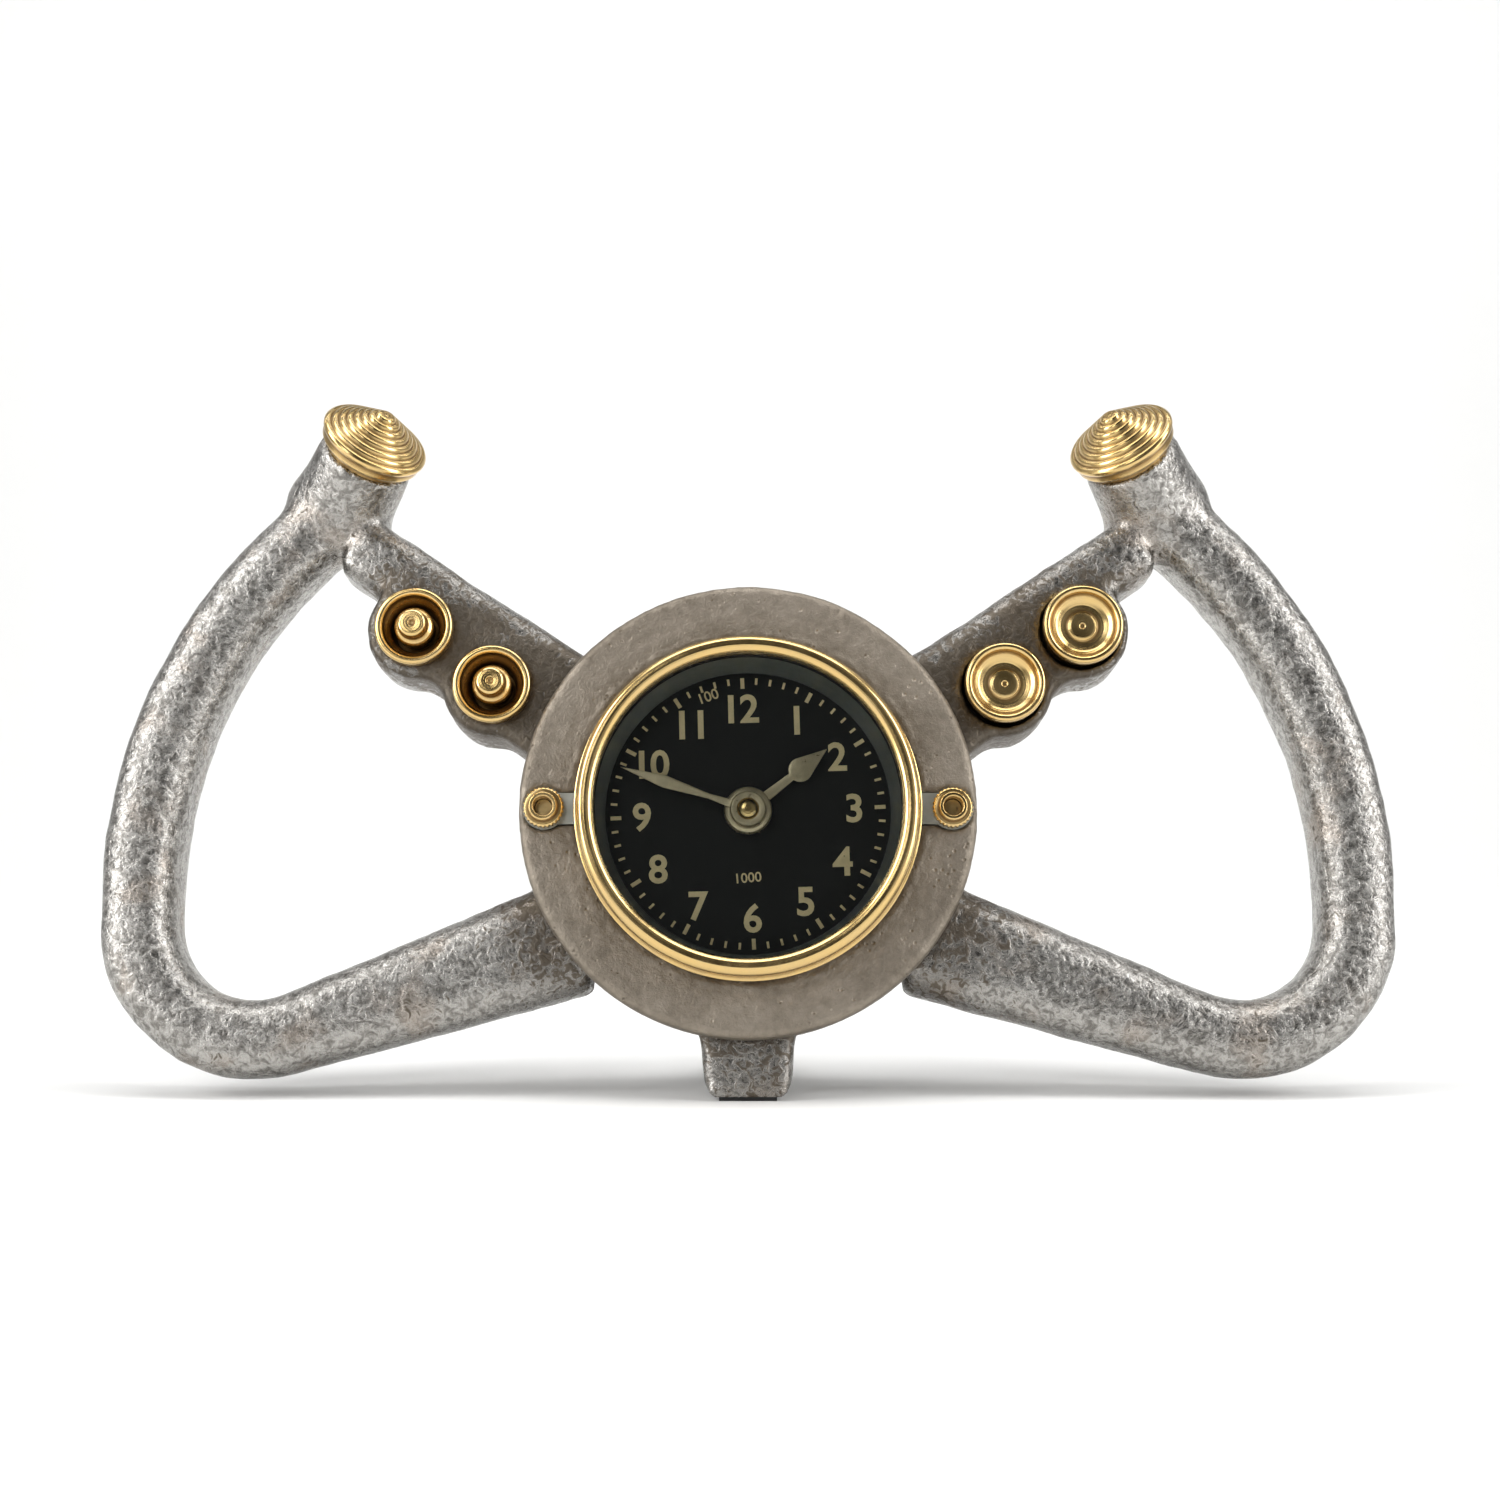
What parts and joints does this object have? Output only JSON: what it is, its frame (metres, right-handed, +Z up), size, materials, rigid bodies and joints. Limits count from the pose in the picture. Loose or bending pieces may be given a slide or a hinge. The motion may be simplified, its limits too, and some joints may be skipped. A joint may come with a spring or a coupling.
{
  "type": "yoke-shaped desk clock",
  "caption": "Desk clock in a cast aluminium control-yoke body with round brass-rimmed dial, sprung brass buttons, stepped brass horn knobs and a small foot.",
  "frame": {"origin": "middle of the front foot pad's underside, on the table", "axes": "+X to the right as the dial is read, +Y from the dial towards the rear foot, +Z up"},
  "size_m": [0.31, 0.0995, 0.1676],
  "materials": {
    "cast_aluminium": "rough sand-cast skin, fettled and tumbled bright, dark in the hollows",
    "polished_brass": "polished and lacquered",
    "glass": "flat, clear",
    "black_rubber": "matt",
    "grey_satin_paint": "satin",
    "black_paint": "satin",
    "cream_print": "matt print",
    "gold_hands": "satin",
    "black_plastic": "fine texture",
    "white_plastic": "moulded",
    "magnet": "plain",
    "copper_wire": "enamelled wire; copper counted as brass",
    "green_board": "lacquered",
    "battery_wrap": "plain wrap",
    "steel": "plain"
  },
  "bodies": {
    "clock": {"yoke_casting": "cast_aluminium", "hub_ring": "cast_aluminium", "bezel": "polished_brass", "crystal": "glass", "crystal_gasket": "black_rubber", "reflector_ring": "grey_satin_paint", "dial_plate": "black_paint", "dial_print": "cream_print", "dial_pan": "grey_satin_paint", "movement_case": "black_plastic", "movement_back": "black_plastic", "middle_plate": "white_plastic", "threaded_bush": "polished_brass", "bush_nut": "polished_brass", "dial_washer": "black_rubber", "stator": "steel", "coil": "copper_wire", "circuit_board": "green_board", "timing_crystal": "steel", "battery": "battery_wrap", "battery_contacts": "steel", "clamp_studs": "polished_brass", "clamp_nuts": "polished_brass", "button_cups": "polished_brass", "dish_bushes": "polished_brass", "plunger_spring_outer": "steel", "plunger_spring_inner": "steel", "dish_spring_outer": "steel", "dish_spring_inner": "steel", "left_knob": "polished_brass", "right_knob": "polished_brass", "knob_studs": "steel", "rear_cover": "cast_aluminium", "hub_screws": "steel", "stand_leg": "cast_aluminium", "stand_screws": "steel", "rubber_pads": "black_rubber"},
    "minute_hands": {"minute_arbor": "polished_brass", "minute_hand": "gold_hands", "hand_cap": "polished_brass"},
    "hour_train": {"hour_wheel": "white_plastic", "hour_hand": "gold_hands"},
    "motion_train": {"motion_wheel": "white_plastic"},
    "setting_train": {"setting_arbor": "white_plastic", "setting_knob": "black_plastic"},
    "rotor": {"rotor": "magnet"},
    "second_train": {"second_wheel": "white_plastic"},
    "third_train": {"third_wheel": "white_plastic"},
    "centre_train": {"centre_wheel": "white_plastic"},
    "outer_plunger": {"plunger_outer": "polished_brass", "plunger_clip_outer": "steel"},
    "inner_plunger": {"plunger_inner": "polished_brass", "plunger_clip_inner": "steel"},
    "outer_dish": {"dish_outer": "polished_brass", "dish_clip_outer": "steel"},
    "inner_dish": {"dish_inner": "polished_brass", "dish_clip_inner": "steel"}
  },
  "joints": [
    {"name": "minute_turn", "type": "hinge", "parent": "clock", "child": "minute_hands", "pos_m": [0, 0.00923, 0.06676], "axis": [0, 0.9848, -0.1736], "continuous": true},
    {"name": "hour_turn", "type": "hinge", "parent": "clock", "child": "hour_train", "pos_m": [0, 0.00923, 0.06676], "axis": [0, 0.9848, -0.1736], "continuous": true},
    {"name": "motion_turn", "type": "hinge", "parent": "clock", "child": "motion_train", "pos_m": [-0.00848, 0.01071, 0.07512], "axis": [0, 0.9848, -0.1736], "continuous": true},
    {"name": "setting_turn", "type": "hinge", "parent": "clock", "child": "setting_train", "pos_m": [-0.00848, 0.02264, 0.0852], "axis": [0, 0.9848, -0.1736], "continuous": true},
    {"name": "rotor_turn", "type": "hinge", "parent": "clock", "child": "rotor", "pos_m": [0.02092, 0.01188, 0.08175], "axis": [0, 0.9848, -0.1736], "continuous": true},
    {"name": "second_turn", "type": "hinge", "parent": "clock", "child": "second_train", "pos_m": [0.01642, 0.01052, 0.07408], "axis": [0, 0.9848, -0.1736], "continuous": true},
    {"name": "third_turn", "type": "hinge", "parent": "clock", "child": "third_train", "pos_m": [0.00743, 0.01052, 0.07408], "axis": [0, 0.9848, -0.1736], "continuous": true},
    {"name": "centre_turn", "type": "hinge", "parent": "clock", "child": "centre_train", "pos_m": [0, 0.00923, 0.06676], "axis": [0, 0.9848, -0.1736], "continuous": true},
    {"name": "outer_plunger_press", "type": "slide", "parent": "clock", "child": "outer_plunger", "axis": [0, 0.9848, -0.1736], "range_m": [0, 0.0025], "stiffness_N_per_m": 300, "springref_m": -0.002, "deforming": ["plunger_spring_outer"]},
    {"name": "inner_plunger_press", "type": "slide", "parent": "clock", "child": "inner_plunger", "axis": [0, 0.9848, -0.1736], "range_m": [0, 0.0025], "stiffness_N_per_m": 300, "springref_m": -0.002, "deforming": ["plunger_spring_inner"]},
    {"name": "outer_dish_press", "type": "slide", "parent": "clock", "child": "outer_dish", "axis": [0, 0.9848, -0.1736], "range_m": [0, 0.0025], "stiffness_N_per_m": 300, "springref_m": -0.002, "deforming": ["dish_spring_outer"]},
    {"name": "inner_dish_press", "type": "slide", "parent": "clock", "child": "inner_dish", "axis": [0, 0.9848, -0.1736], "range_m": [0, 0.0025], "stiffness_N_per_m": 300, "springref_m": -0.002, "deforming": ["dish_spring_inner"]}
  ],
  "couplings": [
    {"joint": "hour_turn", "follows": "minute_turn", "ratio": 0.083333},
    {"joint": "motion_turn", "follows": "minute_turn", "ratio": -0.33333},
    {"joint": "setting_turn", "follows": "minute_turn", "ratio": 1},
    {"joint": "second_turn", "follows": "rotor_turn", "ratio": -0.2},
    {"joint": "third_turn", "follows": "rotor_turn", "ratio": 0.04},
    {"joint": "centre_turn", "follows": "rotor_turn", "ratio": -0.0066667}
  ]
}
